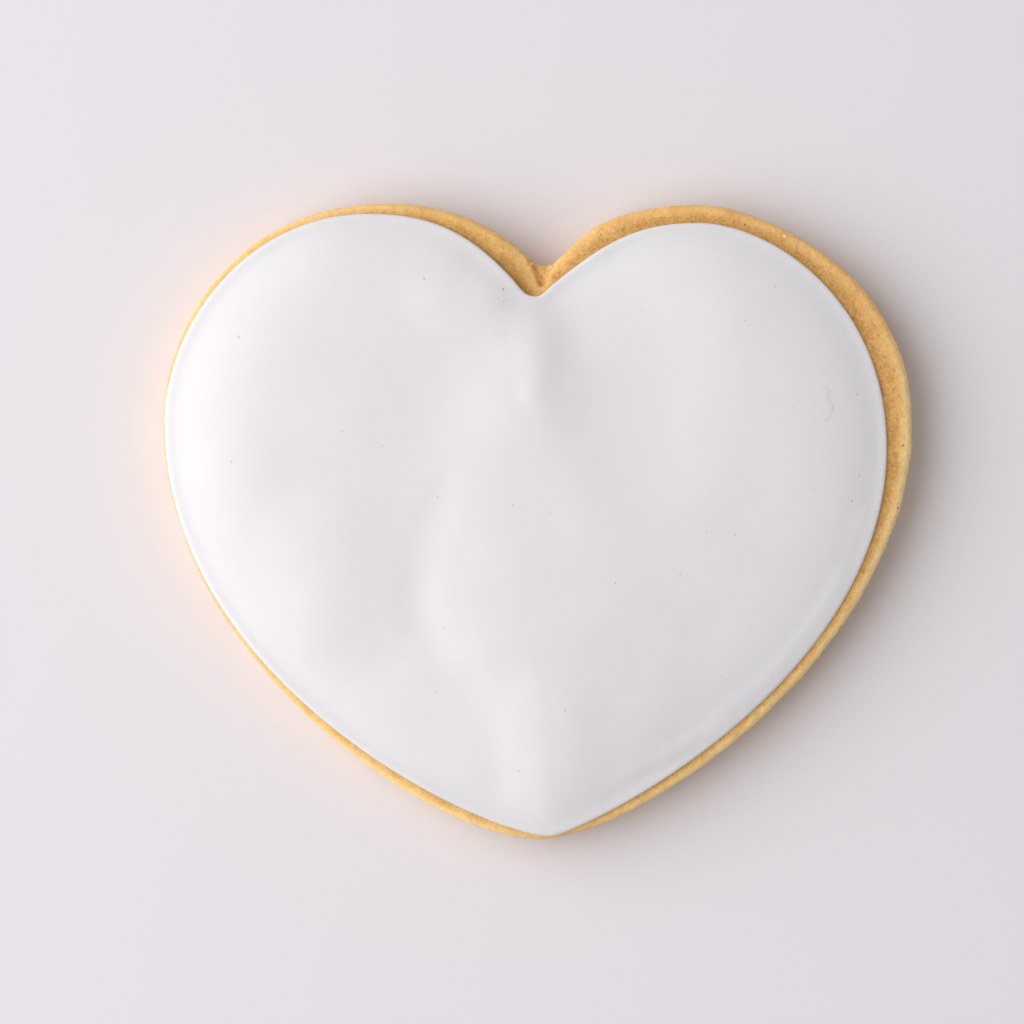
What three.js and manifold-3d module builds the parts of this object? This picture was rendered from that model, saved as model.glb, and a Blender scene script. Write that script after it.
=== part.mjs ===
// An iced sugar cookie: a baked heart with a coat of white icing flooded over its top.
// Millimetres and degrees. X runs across the heart, Y from its tip to its lobes and Z up.
// The origin is the middle of the face that it rests on.
import * as THREE from 'three';
import { mergeVertices } from 'three/addons/utils/BufferGeometryUtils.js';
import Module from 'manifold-3d';

// Cookie
const cookieHeight = 6.6;
const shoulderRadius = 0.5; // the baked top edge
const crownFall = 0.45; // how far the baked top falls towards its edge
const crownReach = 5; // how far in from the edge it begins to fall
const footRadius = 0.7; // the bottom edge
const ledgeHeight = 5.3; // torn dough left low in the notch

// Icing
const beadHeight = 1.1; // of the piped border, above the cookie's flat top
const beadSlump = 0.4; // how far the border sinks where its foot runs down the shoulder, as a share
const domeHeight = 1.6; // of the flooded middle, above the border
const domePower = 7; // how late the dome falls to the border
const contactWidth = 4; // strip inside the icing's edge where it follows the falling top

// Facets
const facetLength = 1.7; // along an outline
const notchFacets = 4;
const shoulderFacets = 5;
const footFacets = 2;

// Both outlines run anticlockwise from the left side of the notch. Each anchor has the headings on which
// the outline arrives and leaves, and the lengths of its handles before and after.
const cookieOutline = [
  { x: -0.9, y: 31.3, arrive: 110, leave: 130, before: 0.9, after: 3 },
  { x: -17.9, y: 38.2, arrive: 180, leave: 180, before: 9.2, after: 18 },
  { x: -45, y: 11.6, arrive: 270, leave: 270, before: 12.5, after: 27.7 },
  { x: 0, y: -38.2, arrive: 0, leave: 0, before: 13, after: 12.7 },
  { x: 45, y: 11.5, arrive: 90, leave: 90, before: 26.5, after: 20.5 },
  { x: 19.7, y: 38, arrive: 180, leave: 180, before: 4.6, after: 13.8 },
  { x: 2.2, y: 31.2, arrive: 215, leave: 250, before: 2.5, after: 0.8 },
];
const icingOutline = [
  { x: -1.6, y: 27.4, arrive: 130, leave: 130, before: 0.5, after: 9.7 },
  { x: -20.4, y: 36.9, arrive: 180, leave: 180, before: 7.7, after: 14.4 },
  { x: -44.8, y: 11.7, arrive: 270, leave: 270, before: 11.9, after: 31.2 },
  { x: 1.5, y: -37.8, arrive: 0, leave: 0, before: 8.1, after: 3.1 },
  { x: 41.9, y: 8.8, arrive: 90, leave: 90, before: 28.8, after: 18 },
  { x: 19.3, y: 35.8, arrive: 180, leave: 180, before: 8.5, after: 6.7 },
  { x: 0.3, y: 27.1, arrive: 221, leave: 221, before: 10.8, after: 0.5 },
];

// The low ledge in the notch is a wedge: its inner point and its two outer corners, past the edge
const ledgeWedge = [
  { x: 0.35, y: 27.6 },
  { x: 3.95, y: 34 },
  { x: -1.9, y: 34 },
];

// The icing's border in section: how far in from its foot, and how far up as a share of its height
const beadSection = [
  { inset: -0.1, rise: 0.3 },
  { inset: -0.05, rise: 0.6 },
  { inset: 0.25, rise: 0.86 },
  { inset: 0.8, rise: 1 },
  { inset: 1.5, rise: 0.95 },
  { inset: 2.4, rise: 0.97 },
];

// Rings of the flooded middle, as shares of the way from its middle point to the border
const floodMiddle = { x: 0, y: -4 };
const floodRings = [0.96, 0.91, 0.84, 0.74, 0.6, 0.42, 0.22];

// Soft channels that the flooding left: points along each, how deep it is and how wide
const channels = [
  {
    path: [[-4.6, 18], [-10, 8.5], [-13, -4.7], [-11.8, -14.3], [-7, -23], [-3.6, -29]],
    depth: 0.35,
    reach: 5,
  },
  { path: [[-0.2, 26], [0.4, 20], [1.4, 14.5]], depth: 0.3, reach: 2.5 },
];

// A point that is a given way along a heading from another
function step(point, heading, length) {
  const turn = THREE.MathUtils.degToRad(heading);
  const ahead = new THREE.Vector2(Math.cos(turn), Math.sin(turn));
  return ahead.multiplyScalar(length).add(point);
}

// The smooth curve from each anchor of an outline to the next
function outlineCurves(anchors) {
  return anchors.map((from, i) => {
    const to = anchors[(i + 1) % anchors.length];
    const leaving = step(from, from.leave, from.after);
    const arriving = step(to, to.arrive, -to.before);
    const start = new THREE.Vector2(from.x, from.y);
    const end = new THREE.Vector2(to.x, to.y);
    return new THREE.CubicBezierCurve(start, leaving, arriving, end);
  });
}

// An outline as evenly spaced points, with a given number of facets along each of its curves
function outlinePoints(anchors, facets) {
  return outlineCurves(anchors).flatMap((curve, i) => curve.getSpacedPoints(facets[i]).slice(0, -1));
}

// Each point of a closed ring moved square to the ring, towards its inside
function insetRing(ring, distance) {
  return ring.map((point, i) => {
    const before = ring[(i + ring.length - 1) % ring.length];
    const after = ring[(i + 1) % ring.length];
    const along = after.clone().sub(before).normalize();
    return new THREE.Vector2(point.x - along.y * distance, point.y + along.x * distance);
  });
}

// The distance from a point to the nearest facet of a closed ring
function distanceToRing(point, ring) {
  let nearest = Infinity;
  for (let i = 0; i < ring.length; i += 1) {
    const start = ring[i];
    const side = ring[(i + 1) % ring.length].clone().sub(start);
    const reach = point.clone().sub(start);
    const share = THREE.MathUtils.clamp(reach.dot(side) / side.lengthSq(), 0, 1);
    nearest = Math.min(nearest, reach.sub(side.multiplyScalar(share)).length());
  }
  return nearest;
}

// A closed skin made of rings of points that each run anticlockwise and have the same number of points
class Skin {
  positions = [];
  triangles = [];
  rings = [];

  // A ring joins the one before it by pairs of triangles, split one way or the other
  addRing(points, heightAt, split = 'forward') {
    this.rings.push(this.positions.length / 3);
    points.forEach((point, i) => this.positions.push(point.x, point.y, heightAt(point, i)));
    this.size = points.length;
    if (this.rings.length > 1) this.bridge(split);
  }

  bridge(split) {
    const [last, fresh] = this.rings.slice(-2);
    for (let i = 0; i < this.size; i += 1) {
      const next = (i + 1) % this.size;
      const [a, b, c, d] = [last + i, last + next, fresh + next, fresh + i];
      this.triangles.push(...(split === 'forward' ? [a, b, c, a, c, d] : [a, b, d, b, c, d]));
    }
  }

  // Closes the first or the last ring with one flat face
  capRing(points, ring, facesUp) {
    const start = this.rings.at(ring);
    for (const [a, b, c] of THREE.ShapeUtils.triangulateShape(points, [])) {
      this.triangles.push(start + a, start + (facesUp ? b : c), start + (facesUp ? c : b));
    }
  }

  // Closes the last ring with a fan to one point
  closeToPoint(point, height) {
    const start = this.rings.at(-1);
    const middle = this.positions.length / 3;
    this.positions.push(point.x, point.y, height);
    for (let i = 0; i < this.size; i += 1) {
      this.triangles.push(start + i, start + ((i + 1) % this.size), middle);
    }
  }

  geometry() {
    const made = new THREE.BufferGeometry();
    made.setAttribute('position', new THREE.Float32BufferAttribute(this.positions, 3));
    made.setIndex(this.triangles);
    return made;
  }
}

// Facets along each curve of the outlines: the last curve is the bottom of the notch
const curveFacets = outlineCurves(cookieOutline).map((curve) => Math.round(curve.getLength() / facetLength));
curveFacets[curveFacets.length - 1] = notchFacets;

const rim = outlinePoints(cookieOutline, curveFacets);
const icingEdge = outlinePoints(icingOutline, curveFacets);

// The rings where the icing lies on the cookie, from its edge in to the flat top
const contactRings = [0, 0.12, 0.4, 1].map((share) => insetRing(icingEdge, share * contactWidth));

// Height of the cookie's baked top: a rounded shoulder, then a slight slope that runs up to a flat
function cookieTop(point) {
  const fromEdge = distanceToRing(point, rim);
  const inward = Math.max(shoulderRadius - fromEdge, 0);
  const shoulder = shoulderRadius - Math.sqrt(shoulderRadius ** 2 - inward ** 2);
  const fall = crownFall * Math.max(1 - fromEdge / crownReach, 0) ** 2;
  return cookieHeight - shoulder - fall;
}

// How far a point of the icing lies below the smooth dome, in the channels
function channelDepth(point) {
  let depth = 0;
  for (const channel of channels) {
    const corners = channel.path.map(([x, y]) => new THREE.Vector2(x, y));
    const line = new THREE.SplineCurve(corners).getPoints(40);
    const away = Math.min(...line.map((spot) => spot.distanceTo(point)));
    depth += channel.depth * Math.exp(-((away / channel.reach) ** 2));
  }
  return depth;
}

function cookieGeometry() {
  const skin = new Skin();
  for (let i = 0; i <= footFacets; i += 1) {
    const turn = (Math.PI / 2) * (i / footFacets);
    const height = footRadius * (1 - Math.cos(turn));
    skin.addRing(insetRing(rim, footRadius * (1 - Math.sin(turn))), () => height);
  }
  skin.capRing(insetRing(rim, footRadius), 0, false);
  skin.addRing(rim, cookieTop);
  for (let i = 1; i < shoulderFacets; i += 1) {
    const share = (i / shoulderFacets) ** 2;
    skin.addRing(rim.map((point, k) => point.clone().lerp(icingEdge[k], share)), cookieTop);
  }
  contactRings.forEach((ring) => skin.addRing(ring, cookieTop));
  skin.capRing(contactRings.at(-1), -1, true);
  return skin.geometry();
}

// The wedge of dough that is missing over the torn ledge
function wedgeGeometry() {
  const shape = new THREE.Shape(ledgeWedge.map(({ x, y }) => new THREE.Vector2(x, y)));
  const made = new THREE.ExtrudeGeometry(shape, { depth: cookieHeight, bevelEnabled: false });
  return made.translate(0, 0, ledgeHeight);
}

// The underside lies on the cookie face to face, on the same triangles. It is laid from the middle out,
// and the border and the flooded middle close it from above.
function icingGeometry() {
  const skin = new Skin();
  [...contactRings].reverse().forEach((ring) => skin.addRing(ring, cookieTop, 'backward'));
  skin.capRing(contactRings.at(-1), 0, false);

  const footHeights = icingEdge.map(cookieTop);
  const crestHeights = footHeights.map((foot) => cookieHeight + beadHeight - beadSlump * (cookieHeight - foot));
  const level = (rise) => (point, i) => THREE.MathUtils.lerp(footHeights[i], crestHeights[i], rise);
  for (const { inset, rise } of beadSection) skin.addRing(insetRing(icingEdge, inset), level(rise));

  const { inset, rise } = beadSection.at(-1);
  const border = insetRing(icingEdge, inset);
  const middle = new THREE.Vector2(floodMiddle.x, floodMiddle.y);
  const floodTop = cookieHeight + beadHeight + domeHeight;
  for (const share of floodRings) {
    const ring = border.map((point) => middle.clone().lerp(point, share));
    const dome = (point, i) => THREE.MathUtils.lerp(floodTop, level(rise)(point, i), share ** domePower);
    skin.addRing(ring, (point, i) => dome(point, i) - channelDepth(point));
  }
  skin.closeToPoint(middle, floodTop - channelDepth(middle));
  return skin.geometry();
}

const wasm = await Module();
wasm.setup();

// A closed geometry as a solid that can be cut
function solidOf(geometry) {
  const bare = new THREE.BufferGeometry();
  bare.setAttribute('position', geometry.getAttribute('position'));
  bare.setIndex(geometry.index);
  const merged = mergeVertices(bare, 1e-4);
  const vertProperties = merged.getAttribute('position').array;
  const triVerts = new Uint32Array(merged.index.array);
  return new wasm.Manifold(new wasm.Mesh({ numProp: 3, vertProperties, triVerts }));
}

function geometryOf(solid) {
  const { vertProperties, triVerts } = solid.getMesh();
  const made = new THREE.BufferGeometry();
  made.setAttribute('position', new THREE.BufferAttribute(vertProperties, 3));
  return made.setIndex(new THREE.BufferAttribute(triVerts, 1));
}

function namedMesh(name, geometry, finish) {
  geometry.computeVertexNormals();
  const mesh = new THREE.Mesh(geometry, new THREE.MeshStandardMaterial(finish));
  mesh.name = name;
  return mesh;
}

const tornCookie = geometryOf(solidOf(cookieGeometry()).subtract(solidOf(wedgeGeometry())));

const icedCookie = new THREE.Group();
icedCookie.add(namedMesh('cookie', tornCookie, { color: 0xd8aa6e, roughness: 0.85, metalness: 0 }));
icedCookie.add(namedMesh('icing', icingGeometry(), { color: 0xf1eff1, roughness: 0.3, metalness: 0 }));

export default icedCookie;
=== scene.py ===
import math

import bpy
import numpy as np
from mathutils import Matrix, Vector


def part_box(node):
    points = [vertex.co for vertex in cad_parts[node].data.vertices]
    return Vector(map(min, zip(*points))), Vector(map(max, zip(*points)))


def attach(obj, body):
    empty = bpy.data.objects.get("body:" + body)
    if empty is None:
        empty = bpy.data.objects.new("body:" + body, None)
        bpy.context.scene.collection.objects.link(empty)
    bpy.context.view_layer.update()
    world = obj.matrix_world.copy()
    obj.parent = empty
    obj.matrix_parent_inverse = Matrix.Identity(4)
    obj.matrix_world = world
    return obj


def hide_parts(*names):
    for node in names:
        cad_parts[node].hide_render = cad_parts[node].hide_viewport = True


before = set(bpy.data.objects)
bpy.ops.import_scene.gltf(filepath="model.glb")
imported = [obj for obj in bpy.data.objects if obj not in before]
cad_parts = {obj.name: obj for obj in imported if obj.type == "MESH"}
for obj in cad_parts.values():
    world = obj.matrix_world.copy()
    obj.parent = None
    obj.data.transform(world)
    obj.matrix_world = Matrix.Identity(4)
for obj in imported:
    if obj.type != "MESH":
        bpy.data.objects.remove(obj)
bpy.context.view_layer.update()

mm = 0.001
seam = 0.002 * mm  # points of a CAD node closer than this become one
farAway = 1.0  # m, farther than anything here
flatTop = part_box("cookie")[1].z  # the cookie's top, under the icing


def takeHold(piece):
    bpy.ops.object.select_all(action="DESELECT")
    piece.select_set(True)
    bpy.context.view_layer.objects.active = piece


def editing(on=True):
    bpy.ops.object.mode_set(mode="EDIT" if on else "OBJECT")


def copyNode(node, name):
    piece = bpy.data.objects.new(name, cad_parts[node].data.copy())
    piece.data.name = name
    piece.data.materials.clear()
    bpy.context.scene.collection.objects.link(piece)
    takeHold(piece)
    editing()
    bpy.ops.mesh.select_mode(type="VERT")
    bpy.ops.mesh.select_all(action="SELECT")
    bpy.ops.mesh.remove_doubles(threshold=seam)
    editing(False)
    return piece


def places(piece):
    spots = np.empty(len(piece.data.vertices) * 3)
    piece.data.vertices.foreach_get("co", spots)
    return spots.reshape(-1, 3)


def pick(piece, chosen):
    # leaves the piece in edit mode with only these points selected
    takeHold(piece)
    editing()
    bpy.ops.mesh.select_mode(type="VERT")
    bpy.ops.mesh.select_all(action="DESELECT")
    editing(False)
    piece.data.vertices.foreach_set("select", chosen)
    editing()


def distanceToPath(spots, path):
    # how far each place lies, seen from above, from a line through the path's points
    nearest = np.full(len(spots), farAway)
    for start, end in zip(path[:-1, :2], path[1:, :2]):
        along = end - start
        if not along.any():  # two points in one place
            continue
        share = np.clip((spots[:, :2] - start) @ along / (along @ along), 0, 1)
        away = np.linalg.norm(spots[:, :2] - start - share[:, None] * along, axis=1)
        nearest = np.minimum(nearest, away)
    return nearest


def closedLine(points):
    # points round the middle, put in order and closed
    around = np.arctan2(points[:, 1], points[:, 0])
    ordered = points[np.argsort(around)]
    return np.vstack([ordered, ordered[:1]])


def inside(spots, line):
    # True for the places within a closed line, seen from above
    around = np.arctan2(spots[:, 1], spots[:, 0])
    lineAround = np.arctan2(line[:-1, 1], line[:-1, 0])
    reach = np.linalg.norm(line[:-1, :2], axis=1)
    away = np.linalg.norm(spots[:, :2], axis=1)
    return away < np.interp(around, lineAround, reach, period=2 * math.pi)


def landing(ground, x, y):
    # where something dropped at this place, in mm, comes to lie
    return ground.ray_cast((x * mm, y * mm, farAway), (0, 0, -1))[1]


def useModifier(piece, kind, **settings):
    takeHold(piece)
    bpy.ops.object.modifier_add(type=kind)
    modifier = piece.modifiers[-1]
    for key, value in settings.items():
        setattr(modifier, key, value)
    bpy.ops.object.modifier_apply(modifier=modifier.name)


def weigh(piece, name, weights):
    # a vertex group with its own weight at every point
    group = piece.vertex_groups.new(name=name)
    for index, weight in enumerate(weights):
        if weight > 0:
            group.add([index], float(weight), "REPLACE")


def present(piece, slot, *nodes):
    takeHold(piece)
    bpy.ops.object.shade_smooth()
    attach(piece, "root")
    for node in nodes:
        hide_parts(node)
    print(piece.name, "made,", len(piece.data.vertices), "points")


icingCoat = {
    "footEdge": 65,  # degrees, the sharpness of the edge at the icing's foot
    "smoothing": 3,  # how finely the foot's curve is cut up
    "sunk": 0.1,  # mm that the foot reaches down into the dough
    "guard": 0.25,  # mm above the foot, below which no stroke moves it
    "hold": 0.3,  # mm above that, where the strokes take hold
    "wall": [(0.1, 1.0006), (0.08, 1.0)],  # lift in mm, spread
    "bead": [  # inset and lift in mm, from the wall in to the slope
        (0.02, 0.12), (0.03, 0.1), (0.05, 0.08), (0.08, 0.06), (0.12, 0.04), (0.16, 0.025),
        (0.2, 0.02), (0.24, 0.025), (0.26, 0.035), (0.28, 0.055), (0.32, 0.075), (0.36, 0.085),
    ],
    "slump": 0.92,  # what is left, from ring to ring, of the foot's ups and downs
    "middle": (0, -4),  # mm, where the rings of the top shrink to
    "rings": 60,
    "innermost": 0.03,  # the last ring's size, as a share of the first
    "dome": 1.6,  # mm that the middle swells above the bead
    "domeReach": 40,  # mm in from the bead
    "domePower": 7,  # the higher, the steeper it rises at the bead and the flatter its middle
    "settled": 3,  # mm in from the bead, where the smoothing is at its full
    "settling": (0.5, 12),  # strength and rounds of the smoothing, where the dome's two sides meet
}
# A stroke pulls its path up or down in mm: all within touch, and ever less out to reach
icingRelief = [
    # the fold from the notch, high on its left and low on its right, with a knob at its end
    {"path": [(-0.7, 25.5), (-0.2, 20), (0, 15.6)], "lift": 0.1, "touch": 0.3, "reach": 3.4},
    {"path": [(-3.4, 27.6), (-1.8, 25.4), (-0.8, 21.5)], "lift": 0.28, "touch": 0.6, "reach": 6},
    {"path": [(-3, 26), (-2.5, 19)], "lift": 0.26, "touch": 1, "reach": 14},
    {"path": [(-8, 28.5), (-3.5, 24.5), (-1.5, 18)], "lift": 0.26, "touch": 1.5, "reach": 9},
    {"path": [(-24, 32.5), (-14, 31.5), (-7, 28)], "lift": 0.16, "touch": 0.8, "reach": 7},
    {"path": [(3.5, 24), (4.5, 18), (5, 13)], "lift": -0.1, "touch": 0.4, "reach": 5},
    {"path": [(12, 23), (12.5, 12)], "lift": -0.45, "touch": 1, "reach": 12},
    {"path": [(-0.7, 15.6)], "lift": 0.06, "touch": 0.4, "reach": 2},
    # the long valley that winds down to the tip
    {"path": [(-12, 18), (-14, 9), (-16, 0), (-17, -8), (-15, -15), (-9, -23), (-6, -30)],
     "lift": -0.1, "touch": 1, "reach": 9},
    {"path": [(-11.5, 4), (-13, -1), (-14.5, -8), (-14, -13), (-9.5, -19), (-6, -26), (-5, -31)],
     "lift": -0.08, "touch": 0.4, "reach": 3.5},
    # the swelling right of the valley
    {"path": [(1, 4), (1, -4), (2, -12), (3, -20)], "lift": 0.46, "touch": 3, "reach": 14},
    {"path": [(-2, -9), (-1, -14)], "lift": 0.16, "touch": 1, "reach": 8},
    {"path": [(-9.5, -9), (-8, -15)], "lift": 0.12, "touch": 0.5, "reach": 5},
    {"path": [(2, -24), (2.5, -31)], "lift": 0.22, "touch": 1, "reach": 7},
    {"path": [(17, 7)], "lift": 0.22, "touch": 1, "reach": 10},
    # soft swellings left of the valley
    {"path": [(-25, -4), (-24, -9)], "lift": 0.26, "touch": 1, "reach": 9},
    {"path": [(-21, -16)], "lift": -0.12, "touch": 1, "reach": 8},
    {"path": [(-36, 7)], "lift": 0.12, "touch": 1, "reach": 7},
    {"path": [(-34, 22), (-30, 25)], "lift": 0.1, "touch": 1, "reach": 10},
    # the lower right, which falls away
    {"path": [(22, -17), (28, -7)], "lift": -0.32, "touch": 1, "reach": 14},
    {"path": [(9, -22), (10.5, -16)], "lift": -0.16, "touch": 0.5, "reach": 6},
    {"path": [(21, -13)], "lift": -0.06, "touch": 0.5, "reach": 4},
    # the fuller bead along the lower right edge
    {"path": [(9.4, -30.9), (14.4, -28.6), (20, -25.5), (27.5, -18.9), (32.5, -13), (36.6, -6.5),
              (39.3, 0.8)],
     "lift": 0.06, "touch": 0.35, "reach": 1.4},
    {"path": [(16, -27.7), (20, -25.5), (27.5, -18.9), (32.5, -13), (36.6, -6.5)],
     "lift": 0.08, "touch": 0.35, "reach": 1.4},
]


def outlineOfIcing():
    # the line where the icing meets the cookie, as a smooth closed line of points
    line = copyNode("icing", "icingCoat")
    editing()
    bpy.ops.mesh.select_mode(type="EDGE")
    bpy.ops.mesh.select_all(action="DESELECT")
    bpy.ops.mesh.edges_select_sharp(sharpness=math.radians(icingCoat["footEdge"]))
    bpy.ops.mesh.select_all(action="INVERT")
    bpy.ops.mesh.delete(type="EDGE")
    editing(False)
    bpy.ops.object.convert(target="CURVE")
    editing()
    bpy.ops.curve.select_all(action="SELECT")
    bpy.ops.curve.spline_type_set(type="BEZIER")
    bpy.ops.curve.handle_type_set(type="AUTOMATIC")
    editing(False)
    line.data.resolution_u = icingCoat["smoothing"]
    bpy.ops.object.convert(target="MESH")
    return line


def layIcing(piece):
    coat = icingCoat
    footHeight = np.median(places(piece)[:, 2])
    middle = (coat["middle"][0] * mm, coat["middle"][1] * mm, footHeight)
    editing()
    bpy.ops.mesh.select_mode(type="VERT")
    bpy.ops.mesh.select_all(action="SELECT")
    bpy.ops.transform.translate(value=(0, 0, -coat["sunk"] * mm))
    bpy.ops.mesh.edge_face_add()
    bpy.ops.mesh.normals_make_consistent(inside=False)
    editing(False)
    if piece.data.polygons[0].normal.z < 0:  # it has to look up, as the insets rise along it
        editing()
        bpy.ops.mesh.flip_normals()
        editing(False)
    editing()
    bpy.ops.mesh.select_all(action="SELECT")

    def levelOut(height):
        bpy.ops.transform.resize(value=(1, 1, coat["slump"]), center_override=(0, 0, height))

    height = footHeight - coat["sunk"] * mm
    for lift, spread in coat["wall"]:
        bpy.ops.mesh.extrude_region_move(TRANSFORM_OT_translate={"value": (0, 0, lift * mm)})
        bpy.ops.transform.resize(value=(spread, spread, 1), center_override=middle)
        height += lift * mm
        levelOut(height)
    for inset, lift in coat["bead"]:
        bpy.ops.mesh.inset(thickness=inset * mm, depth=lift * mm, use_even_offset=True)
        height += lift * mm
        levelOut(height)
    editing(False)
    chosen = np.empty(len(piece.data.vertices), dtype=bool)
    piece.data.vertices.foreach_get("select", chosen)
    border = closedLine(places(piece)[chosen])

    editing()  # rings across the top, then a point in the middle and a face underneath
    reach = 1
    for ring in range(coat["rings"]):
        newReach = 1 - (1 - coat["innermost"]) * (ring + 1) / coat["rings"]
        shrink = newReach / reach
        bpy.ops.mesh.extrude_region_move(TRANSFORM_OT_translate={"value": (0, 0, 0)})
        bpy.ops.transform.resize(value=(shrink, shrink, 1), center_override=middle)
        levelOut(height)
        reach = newReach
    bpy.ops.mesh.merge(type="CENTER")

    bpy.ops.mesh.select_all(action="DESELECT")
    bpy.ops.mesh.select_non_manifold()
    bpy.ops.mesh.edge_face_add()
    bpy.ops.mesh.select_all(action="SELECT")
    bpy.ops.mesh.normals_make_consistent(inside=False)
    editing(False)
    return border


def swellDome(piece, border):
    coat = icingCoat
    spots = places(piece)
    within = inside(spots, border) & (spots[:, 2] > flatTop)
    share = np.minimum(distanceToPath(spots, border) / (coat["domeReach"] * mm), 1)
    weigh(piece, "dome", np.where(within, 1 - (1 - share) ** coat["domePower"], 0))
    useModifier(piece, "DISPLACE", vertex_group="dome", direction="Z",
                strength=coat["dome"] * mm, mid_level=0)
    weigh(piece, "flood", np.where(within, np.minimum(share * coat["domeReach"] / coat["settled"], 1), 0))
    strength, rounds = coat["settling"]
    useModifier(piece, "SMOOTH", vertex_group="flood", factor=strength, iterations=rounds)


def pullRelief(piece, foot, strokes):
    spots = places(piece)
    guarded = np.median(foot[:, 2]) + icingCoat["guard"] * mm
    onTop = spots[:, 2] > guarded + icingCoat["hold"] * mm
    pick(piece, spots[:, 2] < guarded)
    bpy.ops.mesh.hide()  # what is hidden stays where it is
    editing(False)
    for stroke in strokes:  # a path of one point is a dab
        path = np.array(stroke["path"]) * mm
        if len(path) == 1:
            away = np.linalg.norm(spots[:, :2] - path[0], axis=1)
        else:
            away = distanceToPath(spots, path)
        near = onTop & (away < stroke["touch"] * mm)
        if not near.any():
            near[np.argmin(np.where(onTop, away, farAway))] = True
        pick(piece, near)
        bpy.ops.transform.translate(
            value=(0, 0, stroke["lift"] * mm), use_proportional_edit=True,
            proportional_edit_falloff="SMOOTH", proportional_size=stroke["reach"] * mm)
        editing(False)
    editing()
    bpy.ops.mesh.reveal()
    editing(False)


icing = outlineOfIcing()
foot = closedLine(places(icing))
swellDome(icing, layIcing(icing))
pullRelief(icing, foot, icingRelief)
present(icing, "icing", "icing")


bakedDough = {
    "wall": (1, 0.7),  # mm above the table and below the top, between which the side stands upright
    "grain": 0.26,  # mm between the points of the skin
    "underIcing": (3, 1.5, 0.03),  # mm up and mm in from the icing's edge, and the share of points kept
    "underside": (0.3, 2, 0.3),  # mm up and mm in from the wall, and the share of points kept
    "unevenness": [(5.0, 0.18), (1.3, 0.15), (0.5, 0.09)],  # size and depth in mm
    "torn": [(-1.3, 31.6), (-0.4, 30.6), (1, 30.2), (2.1, 30.9)],  # the ragged edge in the notch
    "tornReach": 1.3,  # mm
    "raggedness": (0.5, 0.9),  # size and depth in mm
}


def thinOut(piece, chosen, share):
    pick(piece, chosen)
    bpy.ops.mesh.decimate(ratio=share)
    editing(False)


def note(piece, name, values):
    # keeps a number, in mm, at every point for the finish to use
    attribute = piece.data.attributes.new(name, "FLOAT", "POINT")
    attribute.data.foreach_set("value", values / mm)


def roughen(piece, size, depth, **settings):
    lumps = bpy.data.textures.new("lumps", "CLOUDS")
    lumps.noise_scale = size * mm
    lumps.noise_depth = 2  # finer lumps upon the lumps
    useModifier(piece, "DISPLACE", texture=lumps, texture_coords="LOCAL",
                strength=depth * mm, mid_level=0.5, **settings)


def bakeCookie(foot):
    dough = bakedDough
    piece = copyNode("cookie", "bakedCookie")
    spots = places(piece)
    lowest, fromTop = dough["wall"]
    upright = (spots[:, 2] > lowest * mm) & (spots[:, 2] < flatTop - fromTop * mm)
    wall = closedLine(spots[upright])
    useModifier(piece, "REMESH", mode="VOXEL", voxel_size=dough["grain"] * mm, use_smooth_shade=True)
    spots = places(piece)
    up, inward, share = dough["underIcing"]
    deep = inside(spots, foot) & (distanceToPath(spots, foot) > inward * mm)
    thinOut(piece, deep & (spots[:, 2] > up * mm), share)
    spots = places(piece)
    up, inward, share = dough["underside"]
    thinOut(piece, (spots[:, 2] < up * mm) & (distanceToPath(spots, wall) > inward * mm), share)
    for size, depth in dough["unevenness"]:
        roughen(piece, size, depth)
    away = distanceToPath(places(piece), np.array(dough["torn"]) * mm)
    weigh(piece, "torn", np.clip(1 - away / (dough["tornReach"] * mm), 0, 1))
    roughen(piece, *dough["raggedness"], vertex_group="torn")
    pick(piece, places(piece)[:, 2] < 0)  # what was pushed below the table is flattened
    bpy.ops.transform.resize(value=(1, 1, 0), center_override=(0, 0, 0))
    editing(False)
    spots = places(piece)
    note(piece, "fromIcing", distanceToPath(spots, foot))
    note(piece, "fromWall", distanceToPath(spots, wall))
    return piece


cookie = bakeCookie(foot)
present(cookie, "cookie", "cookie")


icingSpecks = {
    "spots": [  # where each lies and how wide it is, in mm
        (-12, 2.9, 0.3), (9.2, -7.4, 0.42), (17, -6.4, 0.3), (30.6, 13.6, 0.45), (37.6, 2.4, 0.36),
        (3.2, -22.6, 0.4), (-12.2, -20.5, 0.34), (-4.2, 27.7, 0.45), (-4.1, 26.3, 0.28),
        (23.6, -1.6, 0.3), (-36.7, 7.1, 0.36), (-35.8, 22, 0.5), (-13.6, 29, 0.34), (28.4, 28.1, 0.3),
        (38.2, 15.2, 0.34), (38.5, 5.5, 0.34), (22, -18.6, 0.26), (-18.6, 9, 0.26), (20.2, -1.3, 0.24),
        (-11.2, -12.8, 0.28), (-23.4, 10.8, 0.24), (1.5, 0.9, 0.22), (-3, 1.9, 0.4), (12.6, 25.3, 0.24),
        (24.8, 24, 0.22), (-28.6, -13, 0.24), (33, 3.8, 0.22), (-2.3, -29.8, 0.3),
    ],
    "slimness": 0.8,
    "thickness": 0.3,  # as a share of the width
    "showing": 0.012,  # mm above what it lies in
    "colour": (0.5, 0.45, 0.41),
    "paler": (0.64, 0.6, 0.57),
    "roughness": 0.7,
}
paleFlakes = {
    "spots": [(29.6, 34.2, 0.9), (31.1, 33.8, 0.4), (-1.25, 31.6, 0.5)],
    "slimness": 0.45,
    "thickness": 0.3,
    "showing": 0.05,
    "colour": (0.8, 0.56, 0.3),
    "paler": (0.94, 0.74, 0.48),
    "roughness": 0.7,
}
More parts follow.
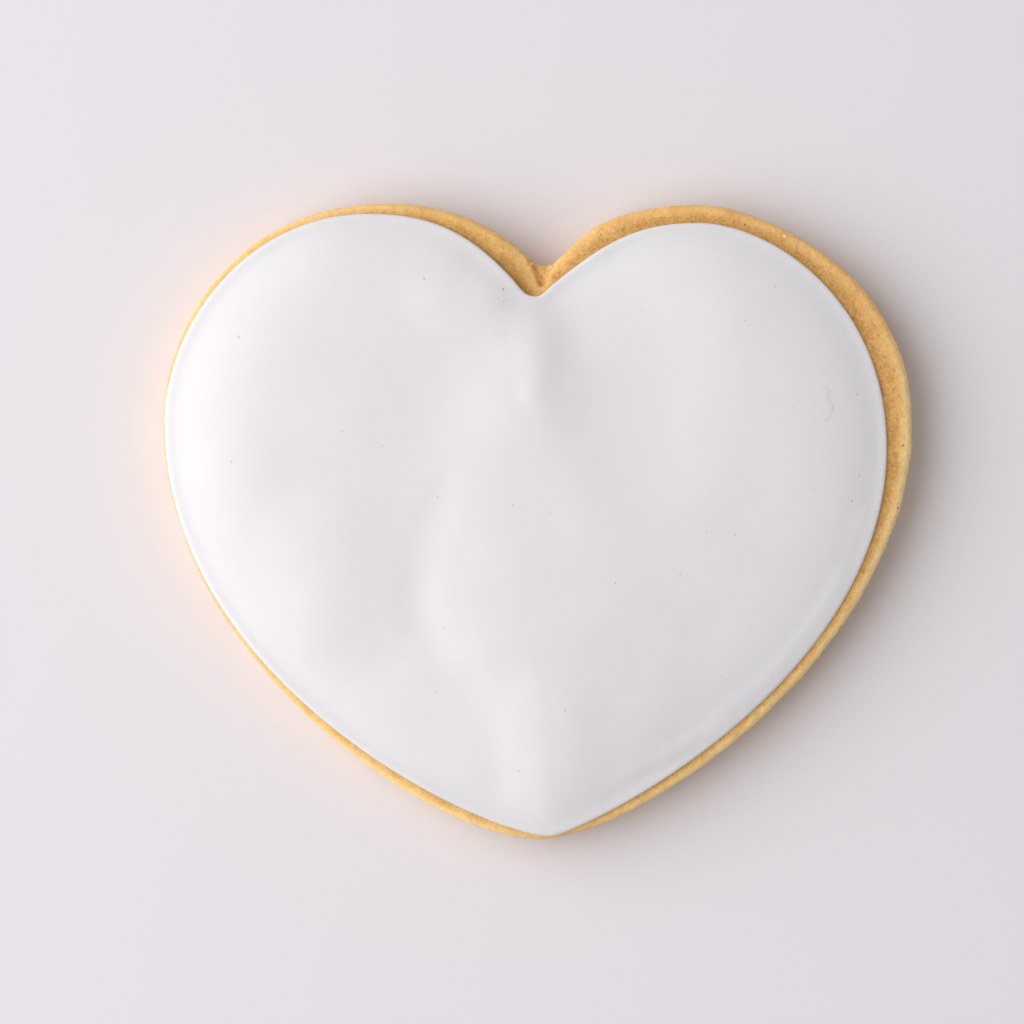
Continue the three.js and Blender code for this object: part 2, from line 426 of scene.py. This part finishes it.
tornCrumbs = {
    "spots": [(-1.2, 31.5, 0.5), (-0.7, 30.9, 0.4), (-0.2, 30.4, 0.55), (0.35, 30.3, 0.42),
              (0.9, 30.1, 0.5), (1.4, 30.3, 0.4), (1.9, 30.6, 0.42), (0.4, 29.4, 0.4), (1.1, 29.5, 0.3)],
    "slimness": 0.7,
    "thickness": 0.8,
    "showing": 0.16,
    "colour": (0.74, 0.44, 0.17),
    "paler": (0.92, 0.64, 0.3),
    "roughness": 0.85,
}
burntGrains = {
    "spots": [(43.8, 9.1, 0.4), (39.6, 18.9, 0.35), (41.5, 15.2, 0.3), (37.9, 24.4, 0.3),
              (24.9, 35.6, 0.3), (33.9, 29.6, 0.28), (-9.6, 33.9, 0.28), (7.6, 34.4, 0.26),
              (43.2, 1.6, 0.28), (36.4, -12.6, 0.26)],
    "slimness": 0.8,
    "thickness": 0.4,
    "showing": 0.03,
    "colour": (0.3, 0.13, 0.035),
    "paler": (0.46, 0.22, 0.06),
    "roughness": 0.7,
}
lumpShape = {
    "rounding": 2,  # subdivisions of the ball that a lump starts as
    "wobble": 0.1,  # how far its points stray, as a share of its width
    "turn": 2.4,  # radians from one lump to the next
}


def scatter(name, kind, ground):
    # small lumps, each with its own shape and turn, lying in the ground's surface
    bpy.context.view_layer.update()  # so that the ground can be met
    lumps = []
    for number, (x, y, width) in enumerate(kind["spots"]):
        rise = (kind["showing"] - width * kind["thickness"] / 2) * mm  # mostly downwards
        centre = (x * mm, y * mm, landing(ground, x, y).z + rise)
        bpy.ops.mesh.primitive_ico_sphere_add(subdivisions=lumpShape["rounding"], radius=width / 2 * mm,
                                              location=centre)
        lump = bpy.context.object
        takeHold(lump)
        editing()
        bpy.ops.mesh.select_all(action="SELECT")
        bpy.ops.transform.vertex_random(offset=lumpShape["wobble"] * width * mm, seed=number + 1)
        bpy.ops.transform.resize(value=(1, kind["slimness"], kind["thickness"]), center_override=centre)
        bpy.ops.transform.rotate(value=lumpShape["turn"] * number, orient_axis="Z",
                                 center_override=centre)
        editing(False)
        lumps.append(lump)
    bpy.ops.object.select_all(action="DESELECT")
    for lump in lumps:
        lump.select_set(True)
    piece = lumps[0]
    bpy.context.view_layer.objects.active = piece
    bpy.ops.object.join()
    bpy.ops.object.transform_apply(location=True, rotation=True, scale=True)
    piece.name = name
    piece.data.name = name
    return piece


specks = scatter("icingSpecks", icingSpecks, icing)
present(specks, "cookie")
flakes = scatter("paleFlakes", paleFlakes, cookie)
present(flakes, "cookie")
crumbs = scatter("tornCrumbs", tornCrumbs, cookie)
present(crumbs, "cookie")
grains = scatter("burntGrains", burntGrains, cookie)
present(grains, "cookie")


hairInIcing = {
    "path": [(34.4, 16), (34.9, 15.7), (34.7, 15), (34.9, 14.4), (35.3, 13.8), (35.1, 13),
             (34.9, 12.4), (34.3, 12.1)],
    "thickness": 0.05,  # mm
    "colour": (0.55, 0.53, 0.53),
    "paler": (0.62, 0.6, 0.6),
    "roughness": 0.7,
}


def layHair(ground):
    # a thin thread that lies on the ground
    bpy.context.view_layer.update()
    bpy.ops.curve.primitive_nurbs_path_add()
    piece = bpy.context.object
    piece.name = "hairInIcing"
    editing()
    bpy.ops.curve.select_all(action="SELECT")
    bpy.ops.curve.delete(type="VERT")
    for x, y in hairInIcing["path"]:
        bpy.ops.curve.vertex_add(location=landing(ground, x, y))
    editing(False)
    piece.data.bevel_depth = hairInIcing["thickness"] / 2 * mm
    piece.data.bevel_resolution = 1
    piece.data.use_fill_caps = True
    bpy.ops.object.convert(target="MESH")
    return piece


hair = layHair(icing)
present(hair, "icing")


class Value:
    # what a node gives out, ready to be used in sums
    def __init__(self, finish, socket):
        self.finish = finish
        self.socket = socket

    def math(self, operation, first, second):
        return self.finish.add("ShaderNodeMath", {"operation": operation}, {0: first, 1: second})

    def __add__(self, other):
        return self.math("ADD", self, other)

    def __radd__(self, other):
        return self.math("ADD", other, self)

    def __sub__(self, other):
        return self.math("SUBTRACT", self, other)

    def __rsub__(self, other):
        return self.math("SUBTRACT", other, self)

    def __mul__(self, other):
        return self.math("MULTIPLY", self, other)

    def __rmul__(self, other):
        return self.math("MULTIPLY", other, self)


class Finish:
    # a material and its nodes
    def __init__(self, name):
        self.material = bpy.data.materials.new(name)
        self.material.use_nodes = True
        self.tree = self.material.node_tree
        self.surface = self.tree.nodes["Principled BSDF"]

    def add(self, kind, settings, inputs, output=0):
        node = self.tree.nodes.new(kind)
        for key, value in settings.items():
            setattr(node, key, value)
        for key, value in inputs.items():
            self.feed(node.inputs[key], value)
        return Value(self, node.outputs[output])

    def feed(self, socket, value):
        if isinstance(value, Value):
            self.tree.links.new(value.socket, socket)
        else:
            socket.default_value = value

    def set(self, **inputs):
        for key, value in inputs.items():
            words = "".join(" " + letter if letter.isupper() else letter for letter in key)
            self.feed(self.surface.inputs[words.strip()], value)

    def place(self):
        return self.add("ShaderNodeTexCoord", {}, {}, "Object")

    def along(self, axis):
        return self.add("ShaderNodeSeparateXYZ", {}, {"Vector": self.place()}, axis)

    def noted(self, name):
        return self.add("ShaderNodeAttribute", {"attribute_name": name}, {}, "Fac")

    def noise(self, size, detail=3.0, roughness=0.5):
        inputs = {"Vector": self.place(), "Scale": 1 / (size * mm), "Detail": detail,
                  "Roughness": roughness}
        return self.add("ShaderNodeTexNoise", {"noise_dimensions": "3D"}, inputs, "Fac")

    def between(self, value, low, high):
        # 0 at low and 1 at high, with a soft step from one to the other
        inputs = {"Value": value, "From Min": low, "From Max": high}
        return self.add("ShaderNodeMapRange", {"interpolation_type": "SMOOTHSTEP"}, inputs)

    def blotches(self, size, detail, roughness, low, high):
        # noise made into patches with soft edges
        return self.between(self.noise(size, detail, roughness), low, high)

    def mix(self, amount, first, second):
        inputs = {"Factor": amount, 6: (*first, 1) if isinstance(first, tuple) else first,
                  7: (*second, 1) if isinstance(second, tuple) else second}
        return self.add("ShaderNodeMix", {"data_type": "RGBA"}, inputs, 2)

    def bump(self, height, strength, depth):
        inputs = {"Strength": strength, "Distance": depth * mm, "Height": height}
        return self.add("ShaderNodeBump", {}, inputs)

    def pebble(self, size, detail, roughness, strength, depth):
        self.set(Normal=self.bump(self.noise(size, detail, roughness), strength, depth))

    def letLightIn(self, share, spread, colour):
        self.set(SubsurfaceWeight=share, SubsurfaceScale=spread * mm, SubsurfaceRadius=colour)


# Blotches: their size in mm, detail and roughness, and the noise where they start and are whole
icingLook = {
    "colour": (0.8, 0.788, 0.822),
    "paler": (0.81, 0.798, 0.832),
    "patches": (9, 2.0, 0.5, 0.35, 0.65),
    "roughness": 0.32,
    "glow": (0.5, 1.4, (1, 0.9, 0.8)),  # share of light that sinks in, its spread in mm, by colour
    "dapple": (1.6, 2.0, 0.5, 0.3, 0.03),  # size in mm, detail, roughness, strength, depth in mm
}
crustLook = {
    "golden": (0.86, 0.49, 0.155),
    "honey": (0.95, 0.59, 0.21),
    # the darker brown of the grain and the toasted crust, also used for painted shade by the icing and on
    # the lobes
    "toastedAndShaded": (0.56, 0.29, 0.08),
    "pale": (1, 0.78, 0.41),
    "dark": (0.32, 0.15, 0.04),
    "patches": (3.2, 4.0, 0.5, 0.35, 0.65),  # of honey in the golden
    "grain": (0.7, 3.0, 0.65, 0.35, 0.68),  # toasted
    "grainStrength": 0.3,
    "grainFade": 0.18,  # how much weaker the grain is on the pale rim
    "flour": (0.34, 2.0, 0.6, 0.52, 0.68),  # pale
    "flourStrength": 0.24,
    "speckles": (0.3, 2.0, 0.6, 0.54, 0.66),  # dark
    "speckleStrength": 0.24,
    "speckleGain": 0.26,  # how much stronger they are in the band by the icing, which is toasted and painted with shade
    "speckleFade": 0.12,  # and how much weaker on the pale rim
    "rim": (2.5, 0.9),  # mm in from the wall, where the pale rim starts and is whole
    "rimWander": (1.2, 2.2),  # mm that its inner edge wanders, and the size of the turns
    "rimUp": (4, 5.6),  # mm up the wall, where it starts and is whole
    "rimOut": (-0.3, 1.5),  # mm out from the icing, the same
    "rimStrength": 0.75,
    "rimFade": 0.6,  # how much weaker the rim is where the crust is darker with browning and painted shade
    "toastAndShade": (1.4, -0.2),  # mm out from the icing, where the band that is toasted and painted with shade starts and is whole
    "toastAndShadeWander": (1.2, 1.7),  # mm that its outer edge wanders, and the size of the turns
    "toastAndShadeUp": (6, 6.4),  # mm up, where it starts and is whole
    "toastAndShadeStrength": 0.55,
    "browningAndShadeX": (-27, -12),  # mm, where the crust of the lobes starts to be darker, part browning and part painted shade, and is wholly so
    "browningAndShadeY": (14, 27),  # mm, the same
    "browningAndShadeStrength": 0.14,
    "roughness": 0.85,
    "glow": (0.4, 1, (1, 0.6, 0.3)),
    "tooth": (0.35, 3.0, 0.6, 0.5, 0.16),  # like the icing's dapple
}
plainTint = (0.8, 3.0, 0.5, 0.35, 0.65)  # blotches of a small piece's paler colour


def icingFinish():
    look = icingLook
    finish = Finish("whiteIcing")
    patches = finish.blotches(*look["patches"])
    finish.set(BaseColor=finish.mix(patches, look["colour"], look["paler"]), Roughness=look["roughness"])
    finish.letLightIn(*look["glow"])
    finish.pebble(*look["dapple"])
    return finish.material


def crustFinish():
    look = crustLook
    finish = Finish("bakedCrust")
    fromIcing = finish.noted("fromIcing")
    fromWall = finish.noted("fromWall")

    def stretch(axis, key):
        low, high = look[key]
        return finish.between(finish.along(axis), low * mm, high * mm)

    def wandering(key):
        distance, size = look[key]
        return distance * finish.noise(size)

    # the lobes' crust darker towards the notch and the upper right: part browning, part painted shade
    # away from the window
    browningAndShade = stretch("Y", "browningAndShadeY") * stretch("X", "browningAndShadeX")
    edge = finish.between(fromWall + wandering("rimWander"), *look["rim"])
    rim = edge * stretch("Z", "rimUp") * finish.between(fromIcing, *look["rimOut"])
    # the band by the icing: partly browner from baking, partly painted shade where the icing shades the
    # crust
    toastAndShade = finish.between(fromIcing - wandering("toastAndShadeWander"), *look["toastAndShade"])
    toastAndShade = toastAndShade * stretch("Z", "toastAndShadeUp") * (1 - edge)

    colour = finish.mix(finish.blotches(*look["patches"]), look["golden"], look["honey"])
    colour = finish.mix(rim * (look["rimStrength"] - look["rimFade"] * browningAndShade), colour, look["pale"])
    grain = finish.blotches(*look["grain"]) * (look["grainStrength"] - look["grainFade"] * rim)
    brown = grain + look["toastAndShadeStrength"] * toastAndShade + look["browningAndShadeStrength"] * browningAndShade
    colour = finish.mix(brown, colour, look["toastedAndShaded"])
    colour = finish.mix(look["flourStrength"] * finish.blotches(*look["flour"]), colour, look["pale"])
    strength = look["speckleStrength"] + look["speckleGain"] * toastAndShade - look["speckleFade"] * rim
    colour = finish.mix(finish.blotches(*look["speckles"]) * strength, colour, look["dark"])
    finish.set(BaseColor=colour, Roughness=look["roughness"])
    finish.letLightIn(*look["glow"])
    finish.pebble(*look["tooth"])
    return finish.material


def plainFinish(name, look):
    finish = Finish(name)
    tint = finish.blotches(*plainTint)
    finish.set(BaseColor=finish.mix(tint, look["colour"], look["paler"]), Roughness=look["roughness"])
    return finish.material


icing.data.materials.append(icingFinish())
cookie.data.materials.append(crustFinish())
specks.data.materials.append(plainFinish("greyFleck", icingSpecks))
flakes.data.materials.append(plainFinish("paleFlake", paleFlakes))
crumbs.data.materials.append(plainFinish("tornCrumb", tornCrumbs))
grains.data.materials.append(plainFinish("burntGrain", burntGrains))
hair.data.materials.append(plainFinish("paleHair", hairInIcing))
print("finishes made")


studio = {
    "lens": 180,  # mm
    "sensor": 36,  # mm
    "view": 122.9,  # mm across the picture, at the widest line of the cookie
    "aim": (-3.1, 1.1),  # mm
    "nearest": 0.01,  # m, the camera sees nothing closer
    "tableSize": 900,  # mm
    "tableGap": 0.02,  # mm under the cookie
    "tableColour": (0.775, 0.757, 0.815),
    "tableRoughness": 0.6,
    "window": (-0.76, 0.075, 0.64),  # m
    "windowSize": 1.5,  # m
    "windowPower": 13.9,  # W
    "windowColour": (1, 0.985, 0.98),
    "roomColour": (1, 0.962, 0.92),
    "roomStrength": 0.4,
}


def lookDown():
    camera = bpy.data.cameras.new("camera")
    camera.lens = studio["lens"]
    camera.sensor_width = studio["sensor"]
    camera.clip_start = studio["nearest"]
    holder = bpy.data.objects.new("camera", camera)
    bpy.context.scene.collection.objects.link(holder)
    distance = studio["view"] * studio["lens"] / studio["sensor"]
    x, y = studio["aim"]
    holder.location = (x * mm, y * mm, flatTop + distance * mm)
    bpy.context.scene.camera = holder


def layTable():
    bpy.ops.mesh.primitive_grid_add(x_subdivisions=2, y_subdivisions=2, size=studio["tableSize"] * mm,
                                    location=(0, 0, -studio["tableGap"] * mm))
    table = bpy.context.object
    table.name = "tabletop"
    finish = Finish("paleTable")
    finish.set(BaseColor=(*studio["tableColour"], 1), Roughness=studio["tableRoughness"])
    table.data.materials.append(finish.material)


def hangWindow():
    lamp = bpy.data.lights.new("window", "AREA")
    lamp.shape = "DISK"
    lamp.size = studio["windowSize"]
    lamp.energy = studio["windowPower"]
    lamp.color = studio["windowColour"]
    holder = bpy.data.objects.new("window", lamp)
    bpy.context.scene.collection.objects.link(holder)
    holder.location = studio["window"]
    holder.rotation_euler = (-holder.location).to_track_quat("-Z", "Y").to_euler()


def lightRoom():
    world = bpy.data.worlds.new("room")
    world.use_nodes = True
    background = world.node_tree.nodes["Background"]
    background.inputs["Color"].default_value = (*studio["roomColour"], 1)
    background.inputs["Strength"].default_value = studio["roomStrength"]
    bpy.context.scene.world = world
    bpy.context.scene.view_settings.view_transform = "Standard"


lookDown()
layTable()
hangWindow()
lightRoom()
print("studio ready")
